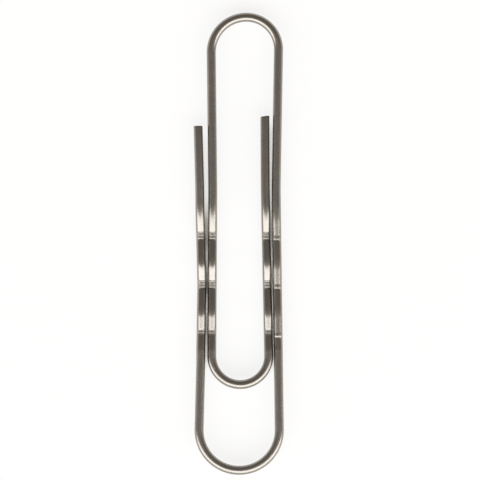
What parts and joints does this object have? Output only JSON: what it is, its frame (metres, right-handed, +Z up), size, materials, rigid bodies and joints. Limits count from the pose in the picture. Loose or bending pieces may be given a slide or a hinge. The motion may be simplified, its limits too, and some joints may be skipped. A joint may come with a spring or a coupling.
{
  "type": "paper clip",
  "caption": "Large wavy paper clip: round plated steel wire bent into nested loops, with waves pressed across its legs, that grips paper by the spring of its wire.",
  "frame": {"origin": "middle of the clip's bounding box, on the surface that it lies on", "axes": "+X across the width, +Y along the length towards the top bend, +Z up from the surface"},
  "size_m": [0.0148, 0.0762, 0.0026],
  "materials": {
    "plated_wire": "drawn steel wire, thinly zinc plated, satin with fine drawing lines"
  },
  "bodies": {
    "main_leg": {"outer_bend_right": "plated_wire", "main_leg_lower": "plated_wire", "main_leg_waves": "plated_wire", "main_leg_upper": "plated_wire", "top_bend_right": "plated_wire"},
    "outer_arm": {"outer_arm_tip": "plated_wire", "outer_arm_waves": "plated_wire", "outer_arm_shank": "plated_wire", "outer_bend_left": "plated_wire"},
    "tongue": {"top_bend_left": "plated_wire", "tongue_leg_upper": "plated_wire", "tongue_leg_waves": "plated_wire", "inner_bend_left": "plated_wire"},
    "inner_arm": {"inner_bend_right": "plated_wire", "inner_arm_waves": "plated_wire", "inner_arm_tip": "plated_wire"}
  },
  "joints": [
    {"name": "tongue_lift", "type": "hinge", "parent": "main_leg", "child": "tongue", "pos_m": [0.00127, 0.03733, 0.00188], "axis": [-1, 0, 0], "range_deg": [0, 10], "stiffness_Nm_per_rad": 1.3},
    {"name": "outer_arm_flex", "type": "hinge", "parent": "main_leg", "child": "outer_arm", "pos_m": [0.00008, -0.03733, 0.00188], "axis": [1, 0, 0], "range_deg": [0, 8], "stiffness_Nm_per_rad": 1.25},
    {"name": "inner_arm_flex", "type": "hinge", "parent": "tongue", "child": "inner_arm", "pos_m": [0.00026, -0.0232, 0.00188], "axis": [1, 0, 0], "range_deg": [0, 8], "stiffness_Nm_per_rad": 1.6}
  ]
}
